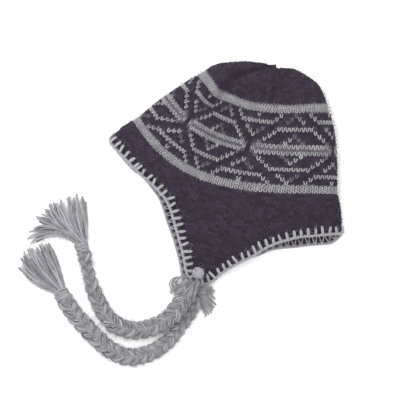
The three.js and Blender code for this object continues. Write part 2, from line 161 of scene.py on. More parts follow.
def round_section(net, sides, radius):
    return net.node("GeometryNodeCurvePrimitiveCircle", inputs={"Resolution": sides, "Radius": radius})


def add_object(name, data):
    made = bpy.data.objects.new(name, data)
    bpy.context.scene.collection.objects.link(made)
    return made


def mesh_object(name, vertices, edges=(), faces=(), floats=None, vectors=None):
    """A mesh object with named attributes on its vertices."""
    mesh = bpy.data.meshes.new(name)
    mesh.from_pydata([tuple(v) for v in vertices], [tuple(e) for e in edges], [tuple(f) for f in faces])
    for kind, field, given in (("FLOAT", "value", floats), ("FLOAT_VECTOR", "vector", vectors)):
        for key, values in (given or {}).items():
            layer = mesh.attributes.new(key, kind, "POINT")
            layer.data.foreach_set(field, np.asarray(values, dtype=np.float32).ravel())
    return add_object(name, mesh)


def grow(start, tree, material, **sizes):
    """Runs a geometry tree on an object and returns the plain mesh that it makes."""
    modifier = start.modifiers.new("grow", "NODES")
    modifier.node_group = tree
    for item in tree.interface.items_tree:
        if item.item_type != "SOCKET" or item.in_out != "INPUT":
            continue
        key = item.name.lower().replace(" ", "_")
        if key in sizes:
            modifier[item.identifier] = sizes[key]
        if item.name == "Material":
            modifier[item.identifier] = material
    graph = bpy.context.evaluated_depsgraph_get()
    mesh = bpy.data.meshes.new_from_object(start.evaluated_get(graph), depsgraph=graph)
    name = start.name
    bpy.data.objects.remove(start)
    mesh.name = name
    return add_object(name, mesh)


pieces = {}


def keep(piece, nodes):
    """A finished piece rides on the cap's one body and stands for its solids."""
    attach(piece, "root")
    if nodes:
        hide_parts(*nodes)
    piece.data.calc_loop_triangles()
    pieces[piece.name] = len(piece.data.loop_triangles)
    print(piece.name, "triangles:", pieces[piece.name])


print("helpers ready")

# %% [markdown]
# ## Wool
#
# Wool yarn is matt. Its colour is never even: each ply catches the light on its crown and darkens
# in its groove, and fibres of other shades are spun in. A grey shade spread over the surface by
# fine noise, a soft bump, a rough surface and a little sheen for the fibres' haze do that. Each
# stitch or strand has a number of its own, called tone, which makes it a shade lighter or darker.
#
# Along a strand two more attributes are kept: its length so far, and where round the strand a
# point lies. The grooves between the plies wind along them.

# %% Wool materials
FULL_TURN = 2 * math.pi
PLY_TURN = 7.5 * MM  # length of yarn in which a ply goes once round
FIBRE_SCALE = 900.0
PATCH_SCALE = 60.0
PATCH_SHARE = 0.2  # of the spread that lies in larger patches
FIBRE_HEIGHT = 0.35  # of the bumps, against a groove's depth


def start_material(name, shader_inputs):
    """A material, its net, and its shader with some inputs set."""
    material = bpy.data.materials.new(name)
    material.use_nodes = True
    shader = material.node_tree.nodes["Principled BSDF"]
    for key, value in shader_inputs.items():
        shader.inputs[key].default_value = value
    return material, Net(material.node_tree), shader


def noise(net, scale, detail):
    place = net.node("ShaderNodeTexCoord", out=3)
    return net.node("ShaderNodeTexNoise", {}, {"Vector": place, "Scale": scale, "Detail": detail})


def kept_number(net, name):
    return net.node("ShaderNodeAttribute", {"attribute_name": name}, out=2)


def finish_material(net, shader, channels, height, strength, distance):
    """Links a colour and a bump to the shader."""
    colour = net.node("ShaderNodeCombineColor", {}, channels)
    net.link(colour, shader.inputs["Base Color"])
    bump = {"Height": height, "Strength": strength, "Distance": distance}
    net.link(net.node("ShaderNodeBump", {}, bump), shader.inputs["Normal"])


def wool(name, shade, spread, sheen, groove=0.45, bump=0.5):
    """A wool yarn: shade is its colour, spread how much its fibres differ."""
    material, net, shader = start_material(name, {
        "Roughness": 0.92,
        "Specular IOR Level": 0.25,
        "Sheen Weight": sheen,
        "Sheen Roughness": 0.6,
        "Sheen Tint": (*(min(1.0, c * 1.6) for c in shade), 1.0),
    })
    fibres = noise(net, FIBRE_SCALE, 3.0)
    patches = noise(net, PATCH_SCALE, 2.0)
    angle = kept_number(net, "round_y").math("ARCTAN2", kept_number(net, "round_x"))
    angle = angle + kept_number(net, "along") * (FULL_TURN / PLY_TURN)
    ply = angle.math("SINE").math("ABSOLUTE").math("POWER", 0.5)
    level = 1.0 + (fibres - 0.5) * spread + (patches - 0.5) * (PATCH_SHARE * spread)
    level = level + (kept_number(net, "tone") - 0.5) * spread
    # painted shade: the colour darkens in the grooves between the plies
    level = level * (1.0 - groove * 0.5 + ply * (groove * 0.5))
    height = ply * groove + fibres * FIBRE_HEIGHT
    finish_material(net, shader, [level * c for c in shade], height, bump, 0.5 * MM)
    return material


DARK = (0.041, 0.031, 0.049)
LIGHT = (0.36, 0.355, 0.38)
BAND_LIGHT = (0.49, 0.485, 0.51)
GREY = (0.165, 0.155, 0.185)
TIE = (0.285, 0.280, 0.300)
dark_wool = wool("dark wool", DARK, 0.75, 0.2)
light_wool = wool("light wool", LIGHT, 0.35, 0.2)
band_wool = wool("band wool", BAND_LIGHT, 0.45, 0.2)
grey_wool = wool("grey wool", GREY, 0.35, 0.2)
tie_wool = wool("tie wool", TIE, 0.55, 0.3, groove=0.2, bump=0.35)
print("wool materials:", [m.name for m in bpy.data.materials if "wool" in m.name])

# %% [markdown]
# ## Strands
#
# The ties, the tassels, the edging and the loose ends are all strands of one kind of yarn. Each is
# first a line of points with a thickness at each. One geometry tree then sweeps a round section
# along every line and keeps where round the strand each point lies.

# %% The strand tree
def make_strand_tree():
    net, given = start_tree("strands", ["Sides", "Thickness"])

    def store(geometry, name, value):
        return net.node(
            "GeometryNodeStoreNamedAttribute",
            {"data_type": "FLOAT", "domain": "POINT"},
            {"Geometry": geometry, "Name": name, "Value": value},
        )

    lines = net.node("GeometryNodeMeshToCurve", inputs={"Mesh": given["Geometry"]})
    lines = store(lines, "along", net.node("GeometryNodeSplineParameter", out=1))
    radius = net.attribute("thick") * given["Thickness"] * 0.5
    ring = round_section(net, given["Sides"], 1.0)
    angle = net.node("GeometryNodeSplineParameter", out=0) * FULL_TURN
    ring = store(ring, "round_x", angle.math("COSINE"))
    ring = store(ring, "round_y", angle.math("SINE"))
    end_tree(net, sweep(net, lines, ring, radius), given["Material"])
    return net.tree


strand_tree = make_strand_tree()


def strands(name, lines, material, thickness, sides=6):
    """Sweeps yarn along lines. Each line is its points, its relative thickness, and its tone."""
    points, edges, thick, tone = [], [], [], []
    for line, widths, shade in lines:
        first = len(points)
        points.extend(line)
        edges.extend((first + k, first + k + 1) for k in range(len(line) - 1))
        thick.extend(np.broadcast_to(widths, (len(line),)))
        tone.extend([shade] * len(line))
    start = mesh_object(name, points, edges=edges, floats={"thick": thick, "tone": tone})
    return grow(start, strand_tree, material, sides=float(sides), thickness=thickness)


def resting(line, lowest):
    """Lifts the low points of a line, so that its yarn doesn't sink into the table."""
    line[:, 2] = np.maximum(line[:, 2], lowest)
    return line


def any_phase():
    return rng.uniform(0, 6.3)


print("strand tree:", len(strand_tree.nodes), "nodes")

# %% [markdown]
# ## Where the ties lie
#
# Each tie is a limp cord that leaves the tip of its flap and lies on the table in one loose bend.
# The routes are the solid model's own, point for point. A smooth curve runs through them.

# %% The ties' routes
NEAR_ROUTE = np.array([
    (-37.5, -118.6, 11.6), (-42, -130, 14), (-47.5, -142, 15.8), (-56, -153, 15.6),
    (-63, -158.7, 12.7), (-71, -163.5, 9.4), (-89, -169, 6.5), (-97.6, -169.5, 6.4),
    (-106, -168.5, 6.5), (-122, -161.5, 6.5), (-129, -155.1, 6.5), (-135, -147.5, 6.5),
    (-143, -131.5, 6.5), (-149, -114.5, 6.5), (-153, -98.5, 6.5), (-156, -83.5, 6.5),
]) * MM
FAR_ROUTE = np.array([
    (-22.8, -127.6, 6.5), (-25.5, -136.5, 6.5), (-31.5, -148.5, 6.5), (-36.2, -155, 6.5),
    (-41.5, -161.5, 6.5), (-53, -174.5, 6.5), (-67, -186.5, 6.5), (-75.2, -191.7, 6.5),
    (-84, -195.8, 6.5), (-103, -199.8, 6.5), (-122, -194.2, 6.5), (-139, -181.7, 6.5),
    (-146.8, -174, 6.5), (-154, -165.7, 6.5), (-167, -148.7, 6.5), (-176, -134.7, 6.5),
]) * MM
UP = np.array([0.0, 0.0, 1.0])
FINE_STEPS = 24  # between two points of a route
END_STEP = 1.6 * MM


def unit(vectors):
    return vectors / np.linalg.norm(vectors, axis=-1, keepdims=True)


def smooth_route(route, step):
    """Points at even steps along the centripetal curve through a route's points."""
    ends = np.vstack([2 * route[0] - route[1], route, 2 * route[-1] - route[-2]])
    fine = []
    for p0, p1, p2, p3 in zip(ends, ends[1:], ends[2:], ends[3:]):
        roots_of_steps = [math.sqrt(np.linalg.norm(b - a)) for a, b in ((p0, p1), (p1, p2), (p2, p3))]
        t = np.cumsum([0] + roots_of_steps)
        for x in np.linspace(t[1], t[2], FINE_STEPS, endpoint=False):
            a1 = p0 + (p1 - p0) * (x - t[0]) / (t[1] - t[0])
            a2 = p1 + (p2 - p1) * (x - t[1]) / (t[2] - t[1])
            a3 = p2 + (p3 - p2) * (x - t[2]) / (t[3] - t[2])
            b1 = a1 + (a2 - a1) * (x - t[0]) / (t[2] - t[0])
            b2 = a2 + (a3 - a2) * (x - t[1]) / (t[3] - t[1])
            fine.append(b1 + (b2 - b1) * (x - t[1]) / (t[2] - t[1]))
    fine = np.array([*fine, route[-1]])
    so_far = np.concatenate([[0], np.cumsum(np.linalg.norm(np.diff(fine, axis=0), axis=1))])
    wanted = np.linspace(0, so_far[-1], max(2, round(so_far[-1] / step)) + 1)
    return np.stack([np.interp(wanted, so_far, fine[:, k]) for k in range(3)], axis=1), so_far[-1]


for name, route in (("near", NEAR_ROUTE), ("far", FAR_ROUTE)):
    print(name, "tie, mm:", round(smooth_route(route, 2 * MM)[1] / MM, 1))

# %% [markdown]
# ## Plaited ties
#
# A plait has three bundles of yarn. Seen along the tie each bundle sways from side to side, a third
# of a turn behind the one before, and it rises twice for each sway, once over each neighbour. So
# its place is one sine across and one of double speed upwards. Each bundle is thirteen yarns side
# by side round its own middle. The plait is loose, so its thickness changes along it and its middle
# strays from the route by a few millimetres.

# %% The plaits
PLAIT_WIDTH = 20.5 * MM  # the plait with its loosest yarns
PLAIT_HEIGHT = 13 * MM
PLAIT_TURN = 28 * MM  # length in which a bundle comes back to its place
PLAIT_STEP = 1.9 * MM
BUNDLE_RADIUS = 2.9 * MM
BUNDLE_YARNS = 13
YARN = 2.1 * MM
YARN_LOWEST = 0.55 * YARN
PLAIT_YARN = 1.85 * MM
CORE = 8.4 * MM  # thickness of the yarns that run inside the plait
WANDER = 0.5 * MM
UNEVEN = 0.55  # no hand plaits evenly
# By share of the length: how thick a plait is, and how far it strays to the side in millimetres
NEAR_FULLNESS = {0: 0.88, 0.12: 1.0, 0.3: 1.04, 0.55: 1.08, 0.75: 0.88, 0.88: 0.66, 0.94: 0.7, 1: 0.82}
FAR_FULLNESS = {0: 0.58, 0.12: 0.6, 0.25: 0.8, 0.5: 1.02, 0.85: 1.04, 1: 1.0}
NEAR_SHIFT = {0: 1.0, 0.1: 3.4, 0.25: 1.6, 0.4: 0, 0.5: -1.2, 0.62: -1.0, 0.75: 0, 1: 0}
FAR_SHIFT = {0: 1.0, 0.08: 4.5, 0.2: 3.8, 0.32: 1.5, 0.5: 0, 0.8: 0, 0.92: -1.6, 1: -1.6}
PLAITS = {
    "near": (NEAR_ROUTE, NEAR_FULLNESS, NEAR_SHIFT),
    "far": (FAR_ROUTE, FAR_FULLNESS, FAR_SHIFT),
}


def plait_lines(route, fullness, shift):
    """The yarns of one plait, and the points that the plait follows."""
    path, length = smooth_route(route, PLAIT_STEP)
    forward = unit(np.gradient(path, axis=0))
    side = unit(np.cross(forward, UP))
    rise = np.cross(side, forward)
    share = np.linspace(0, 1, len(path))
    full = np.interp(share, list(fullness), list(fullness.values()))
    centre = path + side * (np.interp(share, list(shift), list(shift.values())) * MM)[:, None]
    turn = FULL_TURN * share * length / PLAIT_TURN + UNEVEN * np.sin(9 * share + 40 * length)
    sway = PLAIT_WIDTH / 2 - BUNDLE_RADIUS - YARN / 2
    lift = PLAIT_HEIGHT / 2 - BUNDLE_RADIUS - YARN / 2
    lines = []
    for bundle in range(3):
        phase = turn + bundle * FULL_TURN / 3
        across = np.sin(phase) * sway * full
        above = np.sin(2 * phase) * lift
        middle = centre + side * across[:, None] + rise * above[:, None]
        ahead = unit(np.gradient(middle, axis=0))
        flat = unit(np.cross(ahead, rise))
        over = np.cross(flat, ahead)
        for yarn in range(BUNDLE_YARNS):
            angle = FULL_TURN * (yarn + rng.uniform(0, 0.5)) / BUNDLE_YARNS
            angle = angle + 0.25 * np.sin(turn * rng.uniform(0.5, 0.9) + any_phase())
            wander = WANDER * np.sin(turn * rng.uniform(0.8, 1.6) + any_phase())
            out = (BUNDLE_RADIUS * full * rng.uniform(0.82, 1.06) + wander)[:, None]
            line = middle + flat * np.cos(angle)[:, None] * out * 1.05
            line = line + over * np.sin(angle)[:, None] * out * 0.95
            width = rng.uniform(0.8, 1.12) * (0.7 + 0.3 * full)
            lines.append((resting(line, YARN_LOWEST), width, rng.uniform(0.0, 1.1)))
    lines.append((centre, CORE / PLAIT_YARN * full, 0.45))
    return lines, path, length


ties = {}
for side_name, plait in PLAITS.items():
    lines, path, length = plait_lines(*plait)
    braid = strands(f"plait_{side_name}", lines, tie_wool, PLAIT_YARN)
    ties[side_name] = {"braid": braid, "path": path, "length": length, "on_it": []}
    keep(braid, [f"braid_{side_name}"])

# %% [markdown]
# ## Bindings
#
# The end of each plait is wound round with the same yarn, so that it can't come undone. It is wound
# by hand: its turns cross each other at all slants over a lump where the ends are tied.

# %% The bindings
BINDING_LENGTH = 11 * MM
BINDING_HEIGHT = 12.4 * MM
BINDING_LOOPS = 15
LOOP_POINTS = 26
BINDING_WIDTHS = {"near": 16 * MM, "far": 18.5 * MM}
BINDING_TO_LEFT = 1.5 * MM  # how far the lump bulges to one side
CORE_AT = np.array([0.0, 0.3, 0.5, 0.7, 1.0])  # shares of the binding's length
CORE_FULLNESS = np.array([0.6, 0.8, 0.84, 0.8, 0.6])
GAP = 0.3 * MM


def tie_end(route):
    """Where a tie ends, and the level directions on from there and to its side."""
    path, _ = smooth_route(route, END_STEP)
    on = path[-1] - path[-3]
    on[2] = 0
    on = unit(on)
    return path[-1], on, np.cross(UP, on)


def binding_lines(route, width):
    """Closed turns of yarn round an oval lump, and the core under them."""
    end, on, left = tie_end(route)
    a = np.linspace(0, FULL_TURN, LOOP_POINTS)
    lines = []
    for k in range(BINDING_LOOPS):
        t = (k + 0.5) / BINDING_LOOPS
        full = (0.80 + 0.20 * math.sin(math.pi * t)) * rng.uniform(0.93, 1.03)
        slant = rng.uniform(-0.3, 0.3) * BINDING_LENGTH
        along = YARN / 2 + t * (BINDING_LENGTH - YARN) + slant * np.sin(a + any_phase())
        wide = (width - YARN) / 2 * full * np.cos(a)
        high = (BINDING_HEIGHT - YARN) / 2 * full * np.sin(a)
        middle = end + left * (BINDING_TO_LEFT * math.sin(math.pi * t))
        line = middle + on * along[:, None] + left * wide[:, None] + UP * high[:, None]
        lines.append((resting(line, YARN_LOWEST), rng.uniform(0.85, 1.1), rng.uniform(0.1, 0.95)))
    core = end + np.outer(CORE_AT, left * BINDING_TO_LEFT + on * BINDING_LENGTH)
    lines.append((core, CORE_FULLNESS * BINDING_HEIGHT / YARN, 0.2))
    return lines


for side_name, width in BINDING_WIDTHS.items():
    turns_of_yarn = binding_lines(PLAITS[side_name][0], width)
    binding = strands(f"winding_{side_name}", turns_of_yarn, tie_wool, YARN)
    ties[side_name]["on_it"].append(binding)
    keep(binding, [f"binding_{side_name}"])

# %% [markdown]
# ## Tassels
#
# Past the binding the yarns run free. They lie on the table in a few locks with shadow between
# them, fan out, and sink from the height of the tie to the table. Each lock has its own turn from
# the tie's direction, its own length and its own bend. Within it the yarns differ a little.

# %% The tassels
TASSEL_LENGTH = 57 * MM
# Each lock: its turn from the tie in degrees, its share of the length, and its bend in degrees
LOCKS = {
    "near": [
        (73, 0.96, 44), (68, 0.99, 36), (60, 0.98, 28), (45, 1.0, 4), (33, 1.0, -18),
        (24, 0.95, -18), (14, 0.93, -14), (4, 0.95, -10), (-5, 0.88, 4),
    ],
    "far": [
        (20, 0.88, -18), (14, 0.98, -18), (8, 1.02, -13), (2, 1.0, -8), (-4, 0.95, -2), (-10, 0.9, 5),
    ],
}
LOCK_YARNS = 8
LOCK_HALF = 3.4 * MM
ROOT_HALF = 4.2 * MM
ROOT_INSIDE = 1.5 * MM  # how deep the yarns start in the binding
TASSEL_YARN = 2.6 * MM
TASSEL_POINTS = 17
LAYERS = 4  # in which the yarns of a lock lie
LAYER_SHARE = 0.62  # of a yarn's thickness, from one layer to the next


def tassel_lines(route, locks):
    end, on, left = tie_end(route)
    start = end + on * (BINDING_LENGTH - ROOT_INSIDE)
    t = np.linspace(0, 1, TASSEL_POINTS)
    lines = []
    for number, (lock_turn, lock_length, lock_bend) in enumerate(locks):
        from_middle = 1 - 2 * number / (len(locks) - 1)
        for yarn in range(LOCK_YARNS):
            within = rng.uniform(-1, 1)
            turn = math.radians(lock_turn + 3 * within)
            bend = math.radians(lock_bend + rng.uniform(-6, 6))
            reach = TASSEL_LENGTH * lock_length * rng.uniform(0.88, 1.05)
            wave = math.radians(rng.uniform(4, 13)) * np.sin(t * rng.uniform(7, 12) + any_phase())
            angle = turn - bend * (1 - 2 * t) + wave * t
            step = reach * np.diff(t, prepend=0)
            ahead = np.cumsum(np.cos(angle) * step)
            aside = np.cumsum(np.sin(angle) * step)
            aside += from_middle * ROOT_HALF + within * LOCK_HALF * (0.3 + 0.7 * np.sin(np.pi * t * 0.6))
            low = TASSEL_YARN * (0.5 + (yarn % LAYERS) * LAYER_SHARE)
            line = start + on * ahead[:, None] + left * aside[:, None]
            line[:, 2] = low + (end[2] + rng.uniform(-3.5, 3.5) * MM - low) * (1 - t) ** 1.7
            taper = np.clip((1 - t) / 0.08, 0.72, 1.0) * (0.75 + 0.25 * np.clip(t / 0.3, 0, 1))
            lines.append((line, taper * rng.uniform(0.7, 1.08), rng.uniform(0.05, 1.15)))
    return lines


for side_name, locks in LOCKS.items():
    yarns = tassel_lines(PLAITS[side_name][0], locks)
    tassel = strands(f"tassel_yarns_{side_name}", yarns, tie_wool, TASSEL_YARN, sides=7)
    ties[side_name]["on_it"].append(tassel)
    keep(tassel, [f"tassel_{side_name}"])

for side_name, tie in ties.items():
    [tuple(p) for p in tie["path"][::5]] + [tuple(tie["path"][-1])]
    print(side_name, "tie declared, mm:", round(tie["length"] / MM, 1))

# %% [markdown]
# ## The fabric as a map
#
# Every stitch needs a place, so the fabric is a map from stitch and round to a point. Each round of
# the lying cap is a flat loop: an upper layer that bulges, and a lower one that lies on the table.
# The table of rounds says where it turns over at the front and the back edge, and how high it is.
# The stitches then share out the length of the loop. The numbers are the solid model's own.

# %% The tables of the fabric
CAP_WIDTH = 255 * MM
CAP_LENGTH = 246 * MM
CAP_HEIGHT = 52 * MM
WALL = 3.4 * MM
STITCHES = 100
TOP_ROW = 30
LOW_ROW = -50
ROUND_COLUMNS = ["front_x", "front_y", "back_x", "back_y", "sag", "skew", "top", "side", "base"]
ROUNDS = {
    -50: (-0.767, -0.087, 0.523, -0.637, 0.192, 0.1, 0.173, 0.077, 0),
    -44: (-0.707, -0.028, 0.519, -0.529, 0.192, 0.12, 0.212, 0.096, 0),
    -36: (-0.62, 0.048, 0.51, -0.386, 0.188, 0.15, 0.404, 0.115, 0),
    -24: (-0.508, 0.15, 0.501, -0.234, 0.174, 0.25, 0.654, 0.192, 0),
    -18: (-0.452, 0.215, 0.497, -0.149, 0.159, 0.35, 0.788, 0.231, 0),
    -12: (-0.387, 0.26, 0.485, -0.064, 0.139, 0.45, 0.885, 0.25, 0),
    0: (-0.262, 0.361, 0.482, 0.11, 0.107, 0.45, 1, 0.288, 0),
    12: (-0.107, 0.463, 0.445, 0.303, 0.085, 0.45, 1, 0.327, 0),
    18: (-0.016, 0.506, 0.411, 0.392, 0.072, 0.2, 0.885, 0.346, 0.038),
    23: (0.087, 0.513, 0.342, 0.455, 0.045, 0, 0.731, 0.365, 0.154),
    27: (0.16, 0.506, 0.281, 0.481, 0.022, 0, 0.558, 0.385, 0.269),
    30: (0.212, 0.49, 0.225, 0.485, 0.003, 0, 0.433, 0.394, 0.356),
}
# How full the turned edges are, and how flat the lower layer lies between them
UPPER_FULLNESS = 3.4
LOWER_FULLNESS = 5.0
LYING_SHARE = 1.03
# The upper layer's first and last stitch, by row
UPPER_FROM = {-50: -9.5, -24: -9.5, -12: -12.2, 12: -12.5, 20: -11.5}
UPPER_TO = {-50: 44, -24: 44, -12: 44.3, 12: 44.5, 20: 41}
CREASES = [
    dict(path={-12: 0.1, 0: 0.135, 12: 0.19, 18: 0.17, 24: 0.2},
         half=0.045, deep=0.14, push=0.0155, hidden=0.9, row=14, span=11),
    dict(path={8: 0.62, 24: 0.55}, half=0.05, deep=0.1, push=-0.0065, hidden=0.2, row=17, span=6),
    dict(path={8: 0.86, 24: 0.8}, half=0.06, deep=0.06, push=-0.0045, hidden=0, row=17, span=5),
    dict(path={-12: 0.32, 12: 0.33}, half=0.12, deep=0, push=0, hidden=0.6, row=0, span=16),
]
# Rounds by which the lower layer lies further out, by share of a round. Most of them were fitted to
# the far rim by a separate program, then rounded.
SLIP = {
    0: 0, 0.06: 0.5, 0.12: 0.5, 0.18: -0.1, 0.26: 0.4, 0.34: 1.5, 0.42: 1.3,
    0.5: 2.7, 0.58: -1.2, 0.66: -1.4, 0.74: 0.1, 0.84: 2.5, 0.95: 3.0, 1: 0,
}
SLIP_FROM_ROW = 14
SLIP_TO_ROW = -22
# The row of the rim, by stitches from the middle of a flap
RIM = {
    -25: -23, -20: -22, -14: -21.6, -10: -22.6, -8: -24.6, -6: -28.6, -4: -33.4, -2: -38.4, 0: -43.2,
    1.5: -44.4, 3: -43.4, 5: -39.2, 7: -35.8, 9: -33, 11: -29.6, 14: -26.8, 18: -25.4, 25: -25.2,
}
FLAP_MIDDLE = 17.5
HALF = STITCHES / 2
print("rounds:", TOP_ROW - LOW_ROW, "of them in the table:", len(ROUNDS), "creases:", len(CREASES))


# %% Reading the tables
def look_up(table, at):
    """A smooth curve through a table's values, which never overshoots them."""
    xs = np.array(list(table), dtype=float)
    ys = np.array(list(table.values()), dtype=float)
    step = np.diff(xs)
    rise = np.diff(ys) / step
    product = rise[:-1] * rise[1:]
    total = np.where(product > 0, rise[:-1] + rise[1:], 1)
    slope = np.concatenate([rise[:1], np.where(product > 0, 2 * product / total, 0), rise[-1:]])
    x = np.clip(at, xs[0], xs[-1])
    i = np.clip(np.searchsorted(xs, x, side="right") - 1, 0, len(xs) - 2)
    t = (x - xs[i]) / step[i]
    return (
        (2 * t**3 - 3 * t**2 + 1) * ys[i]
        + (t**3 - 2 * t**2 + t) * step[i] * slope[i]
        + (3 * t**2 - 2 * t**3) * ys[i + 1]
        + (t**3 - t**2) * step[i] * slope[i + 1]
    )


def round_at(rows):
    """The rounds' numbers in metres, for an array of rows."""
    found = {
        name: look_up({row: values[k] for row, values in ROUNDS.items()}, rows)
        for k, name in enumerate(ROUND_COLUMNS)
    }
    for name in ("front_x", "back_x"):
        found[name] = found[name] * CAP_WIDTH
    for name in ("front_y", "back_y", "sag"):
        found[name] = found[name] * CAP_LENGTH
    for name in ("top", "side", "base"):
        found[name] = found[name] * CAP_HEIGHT
    return found


def plan_at(turned, share):
    """Where a share of a round lies seen from above, and which way its rim is."""
    front = np.stack([turned["front_x"], turned["front_y"]], axis=-1)
    along = np.stack([turned["back_x"], turned["back_y"]], axis=-1) - front
    down = unit(np.stack([along[..., 1], -along[..., 0]], axis=-1))
    hang = turned["sag"] * 4 * share * (1 - share) * (1 + turned["skew"] * (1 - 2 * share))
    return front + along * share[..., None] + down * hang[..., None], down


def upper_layer(rows, angle):
    turned = round_at(rows)
    c = np.cos(angle)
    share = (1 - np.sign(c) * np.abs(c) ** (2 / UPPER_FULLNESS)) / 2
    rise = np.abs(np.sin(angle)) ** (2 / UPPER_FULLNESS)
    place, down = plan_at(turned, share)
    z = turned["side"] + (turned["top"] - turned["side"]) * rise
    hidden = np.zeros_like(z)
    for crease in CREASES:
        offset = share - look_up(crease["path"], rows)
        fade = np.exp(-(((rows - crease["row"]) / crease["span"]) ** 2))
        dip = fade * np.exp(-((offset / crease["half"]) ** 2))
        shift = fade * np.exp(-(((offset + crease["half"] / 2) / (1.3 * crease["half"])) ** 2))
        z = z - crease["deep"] * CAP_HEIGHT * dip
        place = place + down * (crease["push"] * CAP_LENGTH * shift)[..., None]
        hidden = hidden + crease["hidden"] * dip
    return np.concatenate([place, z[..., None]], axis=-1), hidden


def lower_layer(rows, angle):
    c = np.cos(angle)
    share = (1 + np.sign(c) * np.abs(c) ** (2 / LOWER_FULLNESS)) / 2
    t = np.clip((SLIP_FROM_ROW - rows) / (SLIP_FROM_ROW - SLIP_TO_ROW), 0, 1)
    slip = look_up(SLIP, share) * t * t * (3 - 2 * t)
    place, _ = plan_at(round_at(rows - slip), share)
    turned = round_at(rows)
    drop = LYING_SHARE * np.abs(np.sin(angle)) ** (2 / LOWER_FULLNESS)
    z = turned["base"] + (turned["side"] - turned["base"]) * np.maximum(0, 1 - drop)
    return np.concatenate([place, z[..., None]], axis=-1), np.zeros_like(z)


print("height of the band, mm:", round(float(round_at(0)["top"]) / MM, 1))

# %% [markdown]
# The map is worked out once, on a grid of half stitches and half rounds. Every later place is read
# between the points of that grid. The outward direction comes from the grid's own slopes.

# %% The grid of the fabric
GRID = 0.5
ANGLES = np.linspace(0, np.pi, 193)
grid_rows = np.arange(LOW_ROW, TOP_ROW + GRID / 2, GRID)
grid_stitches = np.arange(0, STITCHES, GRID)


def trace(layer):
    points, hidden = layer(grid_rows[:, None] + 0 * ANGLES, ANGLES + 0 * grid_rows[:, None])
    step = np.linalg.norm(np.diff(points, axis=1), axis=-1) * (1 + (hidden[:, 1:] + hidden[:, :-1]) / 2)
    return points, np.concatenate([np.zeros((len(grid_rows), 1)), np.cumsum(step, axis=1)], axis=1)


def fabric_grid():
    layers = trace(upper_layer), trace(lower_layer)
    grid = np.zeros((len(grid_rows), len(grid_stitches), 3))
    for i, row in enumerate(grid_rows):
        first = look_up(UPPER_FROM, row)
        upper = look_up(UPPER_TO, row) - first
        counted = (grid_stitches - first) % STITCHES
        on_upper = counted <= upper
        shares = counted / upper, (counted - upper) / (STITCHES - upper)
        for (points, fabric), share, chosen in zip(layers, shares, (on_upper, ~on_upper)):
            wanted = share[chosen] * fabric[i, -1]
            for axis in range(3):
                grid[i, chosen, axis] = np.interp(wanted, fabric[i], points[i, :, axis])
    return grid, np.array([fabric[:, -1] for _, fabric in layers]).sum(axis=0)


fabric, girth = fabric_grid()
along_round = np.roll(fabric, -1, axis=1) - np.roll(fabric, 1, axis=1)
fabric_out = unit(np.cross(along_round, np.gradient(fabric, axis=0)))
# Hand-knitted fabric is never flat: the upper layer undulates a little
UNDULATION = 0.45 * MM
lift = np.clip((fabric[..., 2] - 10 * MM) / (20 * MM), 0, 1)
waves = np.sin(fabric[..., 0] / (7.1 * MM) + 1.3 * np.sin(fabric[..., 1] / (11 * MM)))
waves = waves + np.sin(fabric[..., 1] / (8.3 * MM) + fabric[..., 0] / (17 * MM))
fabric = fabric + fabric_out * (lift * waves * UNDULATION)[..., None]


def between(grid, stitch, row):
    """Reads a grid of the fabric between its points."""
    stitch, row = np.broadcast_arrays(np.asarray(stitch, float), np.asarray(row, float))
    u = (stitch % STITCHES) / GRID
    v = np.clip((row - LOW_ROW) / GRID, 0, len(grid_rows) - 1.000001)
    i, j = v.astype(int), u.astype(int) % len(grid_stitches)
    j2 = (j + 1) % len(grid_stitches)
    a, b = (v - i)[..., None], (u - np.floor(u))[..., None]
    near = grid[i, j] * (1 - a) + grid[i + 1, j] * a
    return near * (1 - b) + (grid[i, j2] * (1 - a) + grid[i + 1, j2] * a) * b


def place(stitch, row, depth=0.0):
    """A point at a depth under the fabric's outside, and the outward direction there."""
    stitch, row = np.asarray(stitch, float), np.asarray(row, float)
    out = unit(between(fabric_out, stitch, row))
    return between(fabric, stitch, row) - out * np.asarray(depth)[..., None], out


def rim_row(stitch):
    """The round at which the fabric ends: the same for both flaps."""
    counted = (np.asarray(stitch, float) - FLAP_MIDDLE + HALF / 2) % STITCHES - HALF / 2
    return look_up(RIM, np.where(counted <= HALF / 2, counted, HALF - counted))


band_girth = np.interp(0, grid_rows, girth)
print("fabric grid:", fabric.shape, "girth of the band, mm:", round(band_girth / MM))

# %% [markdown]
# ## The chart
#
# Stranded knitting follows a chart: one square is one stitch. This one has twenty stitches and
# repeats five times round the cap. # is the light yarn, o the grey one and a dot the dark ground.
# It is a row of hexagons, with a bar across each and small crosses above and below. Three light
# rounds close it at either side.

# %% The chart and each stitch's colour
CHART = """
.....#...o...#.....#
....#...o.#...#.....
####...o...#...#####
....................
.o...#########...#..
o...#.........#...#.
...#.....o.....#...#
..#.....#.o.....#...
.o.....#...o.....o..
o#################o.
#ooooooooooooooooo#.
o#################o.
.o.....o...#.....o..
..#.....o.#.....#...
...#.....#.....#...#
o...#.........#...#.
.o...#########...#..
....................
####...#...o...#####
....#...#.o...#.....
.....#...#...#.....#
""".split()
CHART_TOP = 10
CHART_WIDTH = 20
STRIPE_ROWS = (11, 12, 13)
STRIPE_MIDDLE = 12
YARN_NAMES = ("dark", "light", "grey")


def yarn_at(stitch, row):
    """The yarn of one stitch: dark, light or grey."""
    if abs(row) in STRIPE_ROWS:
        return "light"
    if abs(row) > CHART_TOP:
        return "dark"
    mark = CHART[CHART_TOP - row][(stitch - 1) % CHART_WIDTH]
    return {".": "dark", "#": "light", "o": "grey"}[mark]


band = [yarn_at(stitch, row) for stitch in range(STITCHES) for row in range(-13, 14)]
print("stitches in the band:", {name: band.count(name) for name in YARN_NAMES})

